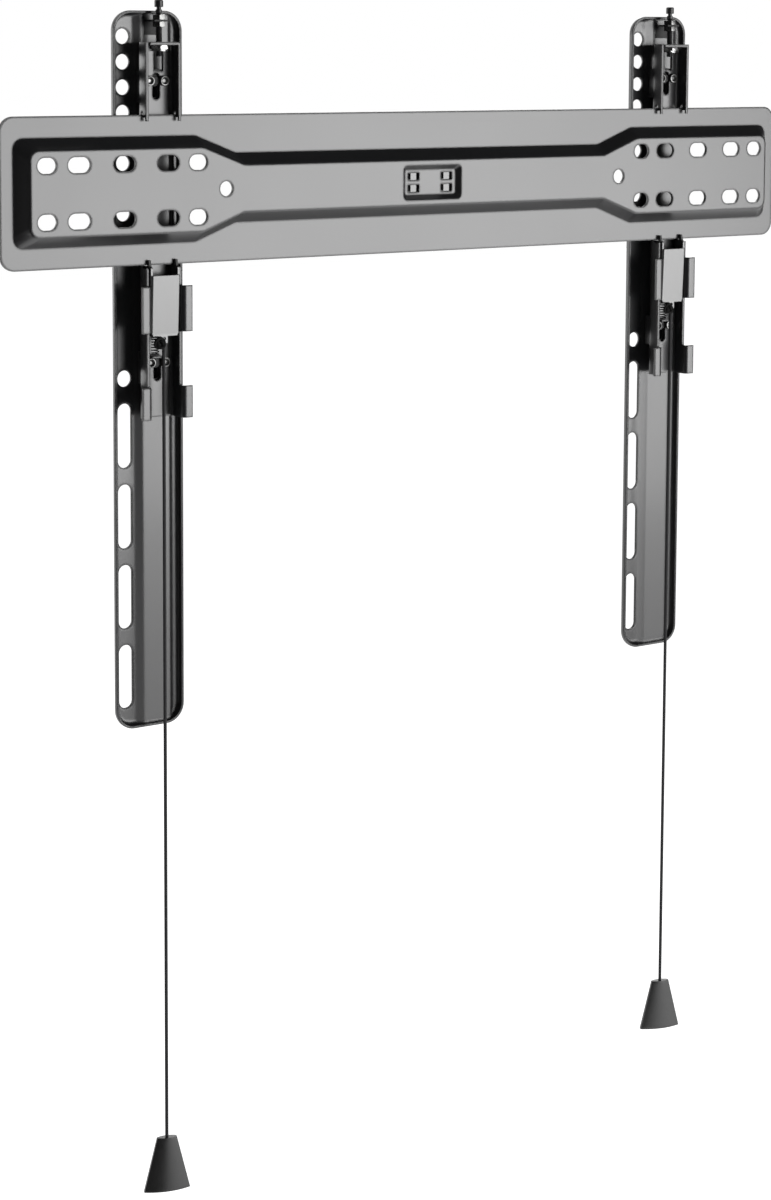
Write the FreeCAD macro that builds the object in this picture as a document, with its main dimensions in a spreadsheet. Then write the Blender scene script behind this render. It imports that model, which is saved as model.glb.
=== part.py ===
# Slim fixed wall bracket for a flat screen.
# A pressed wall plate carries two vertical arms. Each arm rides on a folded carriage that
# hooks over the top edge of the plate. A sprung latch holds the lower edge, and a cord with
# a pull opens it. A screw at the top of each arm sets its height.
# Millimetres. +X is to the right seen from the wall, +Y leaves the wall, +Z is up.
# The origin is the centre of the plate, on the face that lies against the wall.
import FreeCAD, Part
import math
import os
import Sketcher

doc = FreeCAD.newDocument("WallBracket")
V = FreeCAD.Vector

# Driving dimensions
SIZES = (
    ("plate_length", 601.0),
    ("plate_height", 90.0),
    ("plate_sheet", 2.0),
    ("plate_corner", 9.0),
    ("panel_depth", 9.2),
    ("panel_length", 571.0),
    ("panel_height", 51.0),
    ("panel_corner", 5.0),
    ("panel_wall_run", 6.7),
    ("waist_height", 29.0),
    ("waist_length", 281.0),
    ("taper_run", 28.5),
    ("taper_round", 9.0),
    ("panel_bend", 1.6),
    ("wall_slot_rise", 16.5),
    ("wall_slot_radius", 4.65),
    ("wall_slot_long", 15.0),
    ("wall_slot_short", 12.6),
    ("wall_slot_inner", 173.1),
    ("wall_slot_second", 193.9),
    ("wall_slot_third", 223.4),
    ("wall_slot_fourth", 253.5),
    ("wall_slot_outer", 274.6),
    ("axis_hole_place", 153.4),
    ("axis_hole_radius", 4.6),
    ("recess_length", 45.5),
    ("recess_height", 22.3),
    ("recess_depth", 3.2),
    ("recess_run", 3.1),
    ("clip_hole_length", 8.6),
    ("clip_hole_height", 4.8),
    ("clip_hole_spread", 12.9),
    ("clip_hole_rise", 3.8),
    ("clip_gap", 0.3),
    ("level_length", 38.0),
    ("level_height", 15.0),
    ("level_depth", 9.0),
    ("vial_radius", 4.0),
    ("vial_length", 33.0),
    ("vial_wall", 0.8),
    ("arm_spacing", 400.0),
    ("column_shift", -11.4),
    ("arm_width", 47.0),
    ("arm_rise", 107.0),
    ("arm_drop", 330.9),
    ("arm_sheet", 1.5),
    ("arm_depth", 5.8),
    ("arm_corner", 12.0),
    ("arm_bend", 2.5),
    ("arm_gap", 8.7),
    ("column_inset", 8.6),
    ("arm_hole_radius", 4.65),
    ("arm_hole_first", 91.6),
    ("arm_hole_pitch", 15.18),
    ("arm_hole_count", 9.0),
    ("arm_single_drop", 114.8),
    ("arm_single_length", 10.0),
    ("arm_slot_first", 149.8),
    ("arm_slot_pitch", 49.7),
    ("arm_slot_length", 39.5),
    ("arm_slot_count", 4.0),
    ("step_height", 1.5),
    ("step_start", 14.0),
    ("step_run", 6.5),
    ("step_end", 5.0),
    ("carriage_width", 24.1),
    ("carriage_offset", 17.57),
    ("carriage_sheet", 1.8),
    ("carriage_bend", 1.6),
    ("carriage_wall", 9.1),
    ("carriage_rise", 88.3),
    ("carriage_drop", 138.2),
    ("carriage_gap", 3.5),
    ("plate_clearance", 0.6),
    ("hook_gap", 0.3),
    ("hook_overlap", 3.8),
    ("hook_finger", 1.2),
    ("hook_shoulder", 1.6),
    ("hook_top_gap", 2.2),
    ("tooth_gap", 0.4),
    ("flange_relief", 1.3),
    ("lower_wall_gap", 1.6),
    ("wing_reach", 5.1),
    ("wing_rise", 4.1),
    ("wing_bend", 1.2),
    ("upper_wing_top", 57.6),
    ("upper_wing_length", 28.0),
    ("lower_wing_length", 19.6),
    ("screw_window_width", 6.4),
    ("screw_window_floor", 70.9),
    ("screw_window_corner", 0.3),
    ("guide_slot_width", 5.0),
    ("upper_guide_height", 65.2),
    ("lower_guide_height", -104.9),
    ("lift_down", 8.0),
    ("lift_up", 1.5),
    ("lift_spare", 0.8),
    ("stud_radius", 2.0),
    ("stud_tip_radius", 2.2),
    ("stud_head_radius", 3.4),
    ("stud_head_height", 0.7),
    ("stud_rivet_radius", 3.2),
    ("stud_rivet_height", 1.1),
    ("shoe_width", 18.0),
    ("shoe_gap", 0.3),
    ("shoe_margin", 0.9),
    ("shoe_screw_spread", 5.0),
    ("shoe_screw_radius", 1.3),
    ("shoe_screw_head", 3.1),
    ("shoe_screw_height", 2.4),
    ("latch_width", 20.0),
    ("latch_sheet", 1.5),
    ("latch_top", 51.2),
    ("latch_length", 35.6),
    ("latch_front_top", 3.1),
    ("latch_front_bottom", 4.6),
    ("latch_ear_front", 4.3),
    ("latch_ear_rise", 4.6),
    ("latch_tooth", 3.1),
    ("latch_tooth_width", 1.8),
    ("latch_back_gap", 1.9),
    ("latch_edge_gap", 0.6),
    ("latch_round", 1.4),
    ("latch_travel", 6.0),
    ("latch_lip", 1.2),
    ("tongue_width", 5.0),
    ("tongue_length", 5.5),
    ("tongue_hole", 1.1),
    ("pin_radius", 1.25),
    ("pin_drop", 70.0),
    ("pin_place", 7.4),
    ("pin_gap", 0.05),
    ("spring_offset", -5.0),
    ("spring_place", 8.4),
    ("spring_radius", 2.1),
    ("spring_wire", 0.4),
    ("spring_length", 12.0),
    ("spring_play", 0.05),
    ("shelf_width", 6.4),
    ("shelf_sheet", 1.2),
    ("lift_screw_radius", 2.0),
    ("lift_screw_offset", 1.6),
    ("lift_screw_place", 13.8),
    ("lift_screw_gap", 0.08),
    ("lift_screw_tip", 79.5),
    ("lift_screw_neck_radius", 1.4),
    ("lift_screw_neck", 1.3),
    ("lift_screw_head_radius", 2.65),
    ("lift_screw_head", 4.4),
    ("lift_screw_shoulder", 107.8),
    ("press_nut_radius", 2.6),
    ("press_nut_height", 3.6),
    ("nut_flats", 6.8),
    ("nut_height", 3.2),
    ("nut_play", 0.03),
    ("bracket_height", 101.5),
    ("bracket_sheet", 1.0),
    ("bracket_width", 10.0),
    ("bracket_foot", 9.0),
    ("cord_radius", 0.9),
    ("cord_offset", -0.8),
    ("left_cord_length", 497.0),
    ("right_cord_length", 477.5),
    ("pull_height", 34.0),
    ("pull_top_width", 12.5),
    ("pull_top_depth", 3.2),
    ("pull_base_width", 29.4),
    ("pull_base_depth", 5.0),
    ("pull_top_bulge", 0.8),
    ("pull_base_bulge", 1.8),
    ("left_pull_turn", -8.0),
    ("right_pull_turn", -6.0),
)

sheet = doc.addObject("Spreadsheet::Sheet", "Sizes")
for row, (alias, number) in enumerate(SIZES, start=1):
    sheet.set("A%d" % row, alias)
    sheet.set("B%d" % row, str(number))
    sheet.setAlias("B%d" % row, alias)
doc.recompute()


class Size:
    """A length that knows its value now and the formula it comes from."""

    def __init__(self, value, text):
        self.value = float(value)
        self.text = text

    def joined(self, other, sign, value):
        text = other.text if isinstance(other, Size) else repr(float(other))
        return Size(value, "(%s %s %s)" % (self.text, sign, text))

    def __add__(self, other):
        return self.joined(other, "+", self.value + number_of(other))

    def __sub__(self, other):
        return self.joined(other, "-", self.value - number_of(other))

    def __mul__(self, other):
        return self.joined(other, "*", self.value * number_of(other))

    def __truediv__(self, other):
        return self.joined(other, "/", self.value / number_of(other))

    def __neg__(self):
        return Size(-self.value, "(0 - %s)" % self.text)

    def root(self):
        return Size(math.sqrt(self.value), "sqrt(%s)" % self.text)


def number_of(item):
    return item.value if isinstance(item, Size) else float(item)


def size(alias):
    return Size(float(sheet.get(alias)), "Sizes." + alias)


ZERO = Size(0.0, "0")


def bind(item, prop, amount):
    """Ties one property of an object to its formula."""
    item.setExpression(prop, amount.text)


def place(item, x=ZERO, y=ZERO, z=ZERO):
    bind(item, "Placement.Base.x", x)
    bind(item, "Placement.Base.y", y)
    bind(item, "Placement.Base.z", z)
    return item


# Building blocks
FACING_WALL = FreeCAD.Rotation(V(1, 0, 0), 90)
FACING_SIDE = FreeCAD.Rotation(V(1, 1, 1), 120)
FACING_UP = FreeCAD.Rotation()


def block(name, x, y, z):
    """A box between three pairs of limits."""
    box = doc.addObject("Part::Box", name)
    bind(box, "Length", x[1] - x[0])
    bind(box, "Width", y[1] - y[0])
    bind(box, "Height", z[1] - z[0])
    return place(box, x[0], y[0], z[0])


def rod(name, radius, length, x, y, z, rotation=FACING_UP):
    """A cylinder that starts at a point and runs along the rotated Z axis."""
    cylinder = doc.addObject("Part::Cylinder", name)
    bind(cylinder, "Radius", radius)
    bind(cylinder, "Height", length)
    cylinder.Placement = FreeCAD.Placement(V(0, 0, 0), rotation)
    return place(cylinder, x, y, z)


def new_sketch(name, rotation):
    drawing = doc.addObject("Sketcher::SketchObject", name)
    drawing.Placement = FreeCAD.Placement(V(0, 0, 0), rotation)
    return drawing


def fix_point(drawing, geometry, end, x, y):
    """Holds one point of a sketch at a formula's place."""
    for kind, amount in (("DistanceX", x), ("DistanceY", y)):
        rule = Sketcher.Constraint(kind, -1, 1, geometry, end, amount.value)
        index = drawing.addConstraint(rule)
        drawing.setExpression("Constraints[%d]" % index, amount.text)


def polygon(drawing, corners):
    """A closed outline of straight lines through the given corners."""
    first = drawing.GeometryCount
    count = len(corners)
    for index, (x, y) in enumerate(corners):
        after = corners[(index + 1) % count]
        start = V(x.value, y.value, 0)
        end = V(after[0].value, after[1].value, 0)
        drawing.addGeometry(Part.LineSegment(start, end))
    for index in range(count):
        here = first + index
        following = first + (index + 1) % count
        drawing.addConstraint(Sketcher.Constraint("Coincident", here, 2, following, 1))
    for index, (x, y) in enumerate(corners):
        fix_point(drawing, first + index, 1, x, y)


def rounded(drawing, centres, radius):
    """A slot through two centres or a rounded rectangle through four, anticlockwise."""
    first = drawing.GeometryCount
    count = len(centres)
    sweep = 2 * math.pi / count
    r = radius.value
    for index, (x, y) in enumerate(centres):
        start = -math.pi / 2 + index * sweep
        if count == 2 and centres[0][0].text == centres[1][0].text:
            start += math.pi / 2
        circle = Part.Circle(V(x.value, y.value, 0), V(0, 0, 1), r)
        drawing.addGeometry(Part.ArcOfCircle(circle, start, start + sweep))
    for index in range(count):
        arc = drawing.Geometry[first + index]
        following = drawing.Geometry[first + (index + 1) % count]
        drawing.addGeometry(Part.LineSegment(arc.EndPoint, following.StartPoint))
    for index in range(count):
        arc = first + index
        line = first + count + index
        following = first + (index + 1) % count
        drawing.addConstraint(Sketcher.Constraint("Tangent", arc, 2, line, 1))
        drawing.addConstraint(Sketcher.Constraint("Tangent", line, 2, following, 1))
    for index, (x, y) in enumerate(centres):
        fix_point(drawing, first + index, 3, x, y)
    rule = drawing.addConstraint(Sketcher.Constraint("Radius", first, r))
    drawing.setExpression("Constraints[%d]" % rule, radius.text)
    for index in range(1, count):
        drawing.addConstraint(Sketcher.Constraint("Equal", first, first + index))


def rectangle_centres(x, y, radius):
    """Corner centres of a rounded rectangle between two pairs of limits."""
    left = x[0] + radius
    right = x[1] - radius
    low = y[0] + radius
    high = y[1] - radius
    return ((right, low), (right, high), (left, high), (left, low))


def slot_centres(x, y, length, radius, upright):
    """The two end centres of a slot with a given middle."""
    reach = length / 2 - radius
    if upright:
        return ((x, y + reach), (x, y - reach))
    return ((x + reach, y), (x - reach, y))


def extrude(name, drawing, length):
    solid = doc.addObject("Part::Extrusion", name)
    solid.Base = drawing
    solid.DirMode = "Normal"
    solid.Solid = True
    bind(solid, "LengthFwd", length)
    return solid


def wall_prism(name, drawing, y):
    """Extrudes a sketch drawn in X and Z between two depths."""
    place(drawing, ZERO, y[1], ZERO)
    return extrude(name, drawing, y[1] - y[0])


def side_prism(name, corners, x):
    """Extrudes an outline drawn in Y and Z between two places along X."""
    drawing = new_sketch(name + "_outline", FACING_SIDE)
    polygon(drawing, corners)
    place(drawing, x[0], ZERO, ZERO)
    return extrude(name, drawing, x[1] - x[0])


def up_prism(name, corners, z):
    """Extrudes an outline drawn in X and Y between two heights."""
    drawing = new_sketch(name + "_outline", FACING_UP)
    polygon(drawing, corners)
    place(drawing, ZERO, ZERO, z[0])
    return extrude(name, drawing, z[1] - z[0])


def loft(name, sections):
    solid = doc.addObject("Part::Loft", name)
    solid.Sections = sections
    solid.Solid = True
    solid.Ruled = True
    return solid


def fuse(name, pieces):
    joined = doc.addObject("Part::MultiFuse", name)
    joined.Shapes = pieces
    joined.Refine = True
    return joined


def cut(name, base, tools):
    """Takes one or more tools away from a base."""
    tool = tools[0] if len(tools) == 1 else fuse(name + "_tools", tools)
    result = doc.addObject("Part::Cut", name)
    result.Base = base
    result.Tool = tool
    result.Refine = True
    return result


def round_edges(name, base, wanted):
    """Rounds the edges for which wanted gives a radius at each end."""
    doc.recompute()
    edges = []
    for index, edge in enumerate(base.Shape.Edges, start=1):
        radius = wanted(edge)
        if radius:
            edges.append((index, radius, radius))
    result = doc.addObject("Part::Fillet", name)
    result.Base = base
    result.Edges = edges
    return result


def upright_at(x, y):
    """Picks upright edges at one place along X and Y."""
    def found(edge):
        middle = edge.valueAt((edge.FirstParameter + edge.LastParameter) / 2)
        ends = edge.Vertexes
        upright = abs(ends[0].Point.x - ends[-1].Point.x) < 1e-4
        upright = upright and abs(ends[0].Point.y - ends[-1].Point.y) < 1e-4
        tall = len(ends) == 2 and abs(ends[0].Point.z - ends[1].Point.z) > 1.0
        return upright and tall and abs(middle.x - x) < 0.01 and abs(middle.y - y) < 0.01
    return found


nodes = {}


def finish(name, item):
    """Names a finished sub-part after its node."""
    item.Label = name
    nodes[name] = item


# Shared places
plate_sheet = size("plate_sheet")
flange_front = size("panel_depth")
flange_back = flange_front + plate_sheet
plate_top = size("plate_height") / 2
recess_floor = size("recess_depth")
recess_back = recess_floor + plate_sheet

web_front = flange_back + size("carriage_gap")
web_back = web_front + size("carriage_sheet")
wall_front = web_front - size("carriage_wall")
arm_front = flange_back + size("arm_gap")
arm_back = arm_front + size("arm_depth")
base_front = arm_back - size("arm_sheet")
strip_front = base_front - size("step_height")
strip_back = arm_back - size("step_height")


# Wall plate
def panel_corners(grow):
    """Outline of the raised panel, moved outwards by grow on every side."""
    end = size("panel_length") / 2 + grow
    high = size("panel_height") / 2 + grow
    waist = size("waist_height") / 2 + grow
    rise = size("panel_height") / 2 - size("waist_height") / 2
    slant = (rise * rise + size("taper_run") * size("taper_run")).root()
    shift = grow * (slant - size("taper_run")) / rise
    inner = size("waist_length") / 2 + shift
    outer = size("waist_length") / 2 + size("taper_run") + shift
    right = ((end, -high), (end, high), (outer, high), (inner, waist))
    left = ((-inner, waist), (-outer, high), (-end, high), (-end, -high))
    below = ((-outer, -high), (-inner, -waist), (inner, -waist), (outer, -high))
    return right + left + below


def panel_solid(name, front, back, grow_front, grow_back):
    """A tapered block with the panel's outline at two depths."""
    sections = []
    for label, depth, grow in (("front", front, grow_front), ("back", back, grow_back)):
        drawing = new_sketch("%s_%s" % (name, label), FACING_WALL)
        polygon(drawing, panel_corners(grow))
        place(drawing, ZERO, depth, ZERO)
        sections.append(drawing)
    return loft(name, sections)


def panel_edge_radii(corner, taper):
    """Radii for the slanting side edges of the panel, large at its four corners."""
    far = size("panel_length").value / 2 - 25.0

    def wanted(edge):
        first = edge.Vertexes[0].Point
        last = edge.Vertexes[-1].Point
        if abs(first.y - last.y) < 1.0:
            return None
        return corner if abs(first.x) > far else taper
    return wanted


def bend_edges(depth, radius):
    """Radii for every edge of the panel's outline at one depth."""
    def wanted(edge):
        ys = [vertex.Point.y for vertex in edge.Vertexes]
        return radius if max(abs(y - depth) for y in ys) < 1e-4 else None
    return wanted


def recess_section(name, depth, grow):
    drawing = new_sketch(name, FACING_WALL)
    reach = size("recess_length") / 2 - size("recess_run") + grow
    rise = size("recess_height") / 2 - size("recess_run") + grow
    corner = size("recess_run") / 2 + grow / 2
    rounded(drawing, rectangle_centres((-reach, reach), (-rise, rise), corner), corner)
    return place(drawing, ZERO, depth, ZERO)


def make_wall_plate():
    run = size("panel_wall_run")
    depth = size("panel_depth")
    slope = (run * run + depth * depth).root()
    inset = plate_sheet * slope / depth
    sheet_run = run * plate_sheet / depth
    corner = size("panel_corner").value
    taper = size("taper_round").value

    flange = new_sketch("flange_outline", FACING_WALL)
    reach = size("plate_length") / 2
    edge = size("plate_corner")
    rounded(flange, rectangle_centres((-reach, reach), (-plate_top, plate_top), edge), edge)
    flange = wall_prism("flange_sheet", flange, (flange_front, flange_back))

    outer = panel_solid("panel_outer", ZERO, flange_front, ZERO, run)
    outer = round_edges("panel_outer_sides", outer, panel_edge_radii(corner + run.value / 2, taper))
    outer = round_edges("panel_outer_bend", outer, bend_edges(0.0, size("panel_bend").value))
    inner = panel_solid("panel_inner", plate_sheet, flange_back, sheet_run - inset,
                        run + sheet_run - inset)
    inner_corner = corner + run.value / 2 - plate_sheet.value
    inner = round_edges("panel_inner_sides", inner, panel_edge_radii(inner_corner, taper))

    dish_back = loft("recess_boss", [recess_section("recess_boss_floor", recess_back, ZERO + 1.2),
                                     recess_section("recess_boss_rim", plate_sheet, ZERO + 3.6)])
    pressed = cut("panel_hollow", fuse("panel_block", [flange, outer]), [inner])
    pressed = fuse("panel_with_boss", [pressed, dish_back])
    dish = loft("recess_dish", [recess_section("recess_floor", recess_floor, ZERO),
                                recess_section("recess_rim", ZERO, size("recess_run"))])

    holes = new_sketch("wall_slots", FACING_WALL)
    rise = size("wall_slot_rise")
    radius = size("wall_slot_radius")
    rows = (
        ("wall_slot_inner", "wall_slot_short"),
        ("wall_slot_second", "wall_slot_long"),
        ("wall_slot_third", "wall_slot_long"),
        ("wall_slot_fourth", "wall_slot_long"),
        ("wall_slot_outer", "wall_slot_short"),
    )
    for place_name, length_name in rows:
        for x in (size(place_name), -size(place_name)):
            for z in (rise, -rise):
                rounded(holes, slot_centres(x, z, size(length_name), radius, False), radius)
    slots = wall_prism("wall_slot_cutter", holes, (ZERO - 1.0, flange_back))

    tools = [dish, slots]
    for label, x in (("left", -size("axis_hole_place")), ("right", size("axis_hole_place"))):
        tools.append(rod("axis_hole_" + label, size("axis_hole_radius"), flange_back + 1.0,
                         x, flange_back, ZERO, FACING_WALL))
    half = size("clip_hole_length") / 2
    tall = size("clip_hole_height") / 2
    for column, x in (("left", -size("clip_hole_spread")), ("right", size("clip_hole_spread"))):
        for row_name, z in (("low", -size("clip_hole_rise")), ("high", size("clip_hole_rise"))):
            tools.append(block("clip_hole_%s_%s" % (column, row_name), (x - half, x + half),
                               (ZERO, flange_back), (z - tall, z + tall)))
    finish("wall_plate", cut("pressed_plate", pressed, tools))


# Level behind the middle of the plate
def make_level():
    front = recess_back
    back = front + size("level_depth")
    reach = size("level_length") / 2
    rise = size("level_height") / 2
    drawing = new_sketch("level_outline", FACING_WALL)
    rounded(drawing, rectangle_centres((-reach, reach), (-rise, rise), vial_corner()), vial_corner())
    body = wall_prism("level_body", drawing, (front, back))
    vial_y = (front + back) / 2
    radius = size("vial_radius")
    length = size("vial_length")
    start = -(length / 2)
    bed = rod("vial_bed", radius, length, start, vial_y, ZERO, FreeCAD.Rotation(V(0, 1, 0), 90))
    window = block("vial_window", (-(length / 2) + 3.0, length / 2 - 3.0),
                   (vial_y, back + 1.0), (-radius + 0.8, radius - 0.8))
    peep = block("vial_peep", (-(length / 2) + 3.0, length / 2 - 3.0),
                 (vial_y - radius + 0.8, vial_y + radius - 0.8), (ZERO, rise + 1.0))
    shell = cut("level_shell", body, [bed, window, peep])
    feet = []
    half = size("clip_hole_length") / 4
    tall = size("clip_hole_height") / 2 - size("clip_gap")
    for column, x in (("left", -size("clip_hole_spread")), ("right", size("clip_hole_spread"))):
        for row_name, z in (("low", -size("clip_hole_rise")), ("high", size("clip_hole_rise"))):
            feet.append(block("clip_foot_%s_%s" % (column, row_name), (x - half, x + half),
                              (recess_floor + 0.2, front + 0.5), (z - tall, z + tall)))
    finish("level_housing", fuse("level_with_feet", [shell] + feet))

    glass = rod("vial_outside", radius, length, start, vial_y, ZERO,
                FreeCAD.Rotation(V(0, 1, 0), 90))
    wall = size("vial_wall")
    bore = rod("vial_inside", radius - wall, length - wall * 2, start + wall, vial_y, ZERO,
               FreeCAD.Rotation(V(0, 1, 0), 90))
    finish("level_vial", cut("vial_tube", glass, [bore]))
    liquid = rod("liquid_body", radius - wall, length - wall * 2, start + wall, vial_y, ZERO,
                 FreeCAD.Rotation(V(0, 1, 0), 90))
    room = radius - wall
    bubble = rod("bubble", room * 0.4, room * 2, -room, vial_y, room * 0.4,
                 FreeCAD.Rotation(V(0, 1, 0), 90))
    finish("level_liquid", cut("liquid", liquid, [bubble]))


def vial_corner():
    return size("level_height") / 6


class Side:
    """Places that belong to one arm."""

    def __init__(self, name, sign, cord_alias, turn_alias):
        self.name = name
        self.column = size("arm_spacing") * sign / 2 + size("column_shift")
        self.left = self.column - size("column_inset")
        self.right = self.left + size("arm_width")
        self.middle = self.column + size("carriage_offset")
        self.cord_length = size(cord_alias)
        self.turn = size(turn_alias)

    def label(self, word):
        return "%s_%s" % (self.name, word)


# Arm: a shallow drawn tray with a raised strip, a row of holes and four slots
def make_arm(side):
    corner = size("arm_corner")
    thickness = size("arm_sheet")
    bend = size("arm_bend")
    low = -size("arm_drop")
    high = size("arm_rise")

    def tray(name, margin, y, edge_y, radius):
        drawing = new_sketch(side.label(name + "_outline"), FACING_WALL)
        limits = ((side.left + margin, side.right - margin), (low + margin, high - margin))
        rounded(drawing, rectangle_centres(limits[0], limits[1], corner - margin), corner - margin)
        solid = wall_prism(side.label(name), drawing, y)
        return round_edges(side.label(name + "_bend"), solid, bend_edges(edge_y.value, radius))

    outside = tray("arm_outside", ZERO, (arm_front, arm_back), arm_back, bend.value + thickness.value)
    inside = tray("arm_inside", thickness, (ZERO, base_front), base_front, bend.value)
    pan = cut(side.label("arm_pan"), outside, [inside])

    begin = side.left + size("step_start")
    end = side.right - size("step_end")
    run = size("step_run")

    def strip(name, front, back, shift, margin):
        profile = ((begin + shift, back), (begin + run + shift, front),
                   (end - run / 2 - shift, front), (end - shift, back))
        return up_prism(side.label(name), profile, (low + margin, high - margin))

    raised = strip("arm_strip", strip_front, base_front + 0.2, ZERO, thickness)
    pressed = strip("arm_strip_back", strip_back, arm_back + 0.2, thickness / 4, thickness * 2 + bend)
    body = cut(side.label("arm_pressed"), fuse(side.label("arm_formed"), [pan, raised]), [pressed])

    holes = new_sketch(side.label("arm_slots"), FACING_WALL)
    radius = size("arm_hole_radius")
    rounded(holes, slot_centres(side.column, -size("arm_single_drop"),
                                size("arm_single_length"), radius, True), radius)
    for index in range(int(size("arm_slot_count").value)):
        z = -size("arm_slot_first") - size("arm_slot_pitch") * index
        rounded(holes, slot_centres(side.column, z, size("arm_slot_length"), radius, True), radius)
    tools = [wall_prism(side.label("arm_slot_cutter"), holes, (strip_front, arm_back + 1.0))]
    for index in range(int(size("arm_hole_count").value)):
        z = size("arm_hole_first") - size("arm_hole_pitch") * index
        tools.append(rod(side.label("arm_hole_%d" % index), radius, arm_back + 1.0 - strip_front,
                         side.column, arm_back + 1.0, z, FACING_WALL))
    for label, z in guide_heights():
        tools.append(rod(side.label("stud_hole_" + label), size("stud_radius"),
                         arm_back - strip_front + 1.0, side.middle, arm_back + 0.5, z, FACING_WALL))
    finish(side.label("arm"), cut(side.label("arm_drilled"), body, tools))


def guide_heights():
    return (("upper", size("upper_guide_height")), ("lower", size("lower_guide_height")))


def screw_x(side):
    return side.middle + size("lift_screw_offset")


# Carriage: folded channel with hooks, wings, guide slots and a window for the screw
def make_carriage(side):
    thickness = size("carriage_sheet")
    bend = size("carriage_bend")
    half = size("carriage_width") / 2
    left = side.middle - half
    right = side.middle + half
    low = -size("carriage_drop")
    high = size("carriage_rise")

    outside = block(side.label("channel_outside"), (left, right), (wall_front, web_back), (low, high))
    at_left = upright_at(left.value, web_back.value)
    at_right = upright_at(right.value, web_back.value)
    outer_bend = bend.value + thickness.value
    outside = round_edges(side.label("channel_outer_bends"), outside,
                          lambda edge: outer_bend if at_left(edge) or at_right(edge) else None)
    inner_left = left + thickness
    inner_right = right - thickness
    inside = block(side.label("channel_inside"), (inner_left, inner_right),
                   (wall_front - 1.0, web_front), (low - 1.0, high - thickness))
    in_left = upright_at(inner_left.value, web_front.value)
    in_right = upright_at(inner_right.value, web_front.value)
    inside = round_edges(side.label("channel_inner_bends"), inside,
                         lambda edge: bend.value if in_left(edge) or in_right(edge) else None)
    channel = cut(side.label("channel"), outside, [inside])

    wings = []
    wing_front = wall_front - size("wing_rise")
    upper = (-size("upper_wing_top") - size("upper_wing_length"), -size("upper_wing_top"))
    lower = (low, low + size("lower_wing_length"))
    for label, z in (("upper", upper), ("lower", lower)):
        wings.append(wing(side, "left_" + label, left, ZERO - 1.0, wing_front, z))
        wings.append(wing(side, "right_" + label, right, ZERO + 1.0, wing_front, z))

    shelf_z = latch_lip_bottom() - size("spring_length")
    shelf_x = side.middle + size("spring_offset")
    shelf = block(side.label("spring_shelf"),
                  (shelf_x - size("shelf_width") / 2, shelf_x + size("shelf_width") / 2),
                  (size("spring_place") - size("spring_radius") - 0.6, web_front + 0.2),
                  (shelf_z - size("shelf_sheet"), shelf_z))
    body = fuse(side.label("channel_with_wings"), [channel] + wings + [shelf])

    # The wide cut lets the plate pass. A finger stays in front of the plate's top edge, and
    # a round notch over that edge carries the load
    hook_back = flange_front - size("hook_gap")
    cut_back = flange_back + size("plate_clearance")
    notch_round = (cut_back - hook_back) / 2
    notch_middle = hook_back + notch_round
    notch_z = plate_top + size("hook_top_gap") - notch_round
    hook_tip = plate_top - size("hook_overlap")
    finger_back = wall_front + size("hook_finger")
    finger_root = plate_top - size("hook_shoulder")
    outline = (
        (ZERO, -plate_top - size("lower_wall_gap")),
        (cut_back, -plate_top - size("lower_wall_gap")),
        (cut_back, notch_z),
        (hook_back, notch_z),
        (hook_back, finger_root),
        (finger_back, finger_root),
        (finger_back, hook_tip),
        (ZERO, hook_tip),
    )
    tools = [side_prism(side.label("plate_gap"), outline, (left - 1.0, right + 1.0))]
    tools.append(rod(side.label("hook_notch"), notch_round, half * 2 + 2.0, left - 1.0,
                     notch_middle, notch_z, FreeCAD.Rotation(V(0, 1, 0), 90)))

    # A relief parts the top flange from the left wall
    tools.append(block(side.label("flange_relief"), (inner_left, inner_left + size("flange_relief")),
                       (ZERO, web_front - bend), (high - thickness - 1.0, high + 1.0)))

    window = size("screw_window_width") / 2
    holes = new_sketch(side.label("carriage_slots"), FACING_WALL)
    limits = ((screw_x(side) - window, screw_x(side) + window),
              (size("screw_window_floor"), high - thickness))
    corner = size("screw_window_corner")
    rounded(holes, rectangle_centres(limits[0], limits[1], corner), corner)
    slot = size("guide_slot_width") / 2
    for label, z in guide_heights():
        reach = slot + size("lift_spare")
        top = z + size("lift_up") + reach
        bottom = z - size("lift_down") - reach
        rounded(holes, ((side.middle, top - slot), (side.middle, bottom + slot)), slot)
    tools.append(wall_prism(side.label("carriage_slot_cutter"), holes, (web_front - 1.0, web_back + 1.0)))
    for label, z in guide_heights():
        for end, x in screw_places(side):
            tools.append(rod(side.label("shoe_hole_%s_%s" % (label, end)), size("shoe_screw_radius"),
                             thickness + 2.0, x, web_back + 1.0, z, FACING_WALL))
    tools.append(rod(side.label("lift_hole"), size("lift_screw_radius") + size("lift_screw_gap"),
                     thickness + 2.0, screw_x(side), size("lift_screw_place"), high - thickness - 1.0))
    tools.append(rod(side.label("pin_holes"), size("pin_radius"), half * 2 + 2.0, left - 1.0,
                     size("pin_place"), -size("pin_drop"), FreeCAD.Rotation(V(0, 1, 0), 90)))
    finish(side.label("carriage"), cut(side.label("carriage_body"), body, tools))


def screw_places(side):
    spread = size("shoe_screw_spread")
    return (("left", side.middle - spread), ("right", side.middle + spread))


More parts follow.
